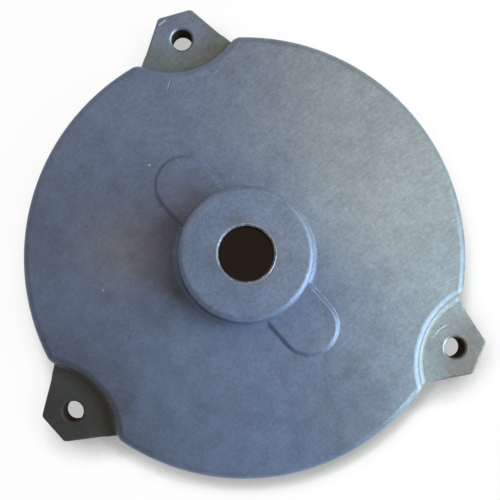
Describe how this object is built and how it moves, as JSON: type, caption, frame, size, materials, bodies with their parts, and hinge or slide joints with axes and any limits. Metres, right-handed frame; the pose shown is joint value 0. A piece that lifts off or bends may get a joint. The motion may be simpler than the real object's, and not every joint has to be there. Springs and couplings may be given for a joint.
{
  "type": "motor end shield",
  "caption": "Cast light-alloy end shield for an electric motor: round disc with a central hub and shaft hole, rear spigot, bearing seat and stepped ears for tie bolts.",
  "frame": {"origin": "on the shaft axis, in the plane of the rear seating face", "axes": "+Z out of the front along the shaft axis, -Y through the ear that lies on the plane of symmetry, X along the two low pads"},
  "size_m": [0.166, 0.1646, 0.0315],
  "materials": {
    "cast_aluminium": "bare die casting, finely blasted, satin grey"
  },
  "bodies": {
    "root": {"end_shield": "cast_aluminium"}
  },
  "joints": []
}
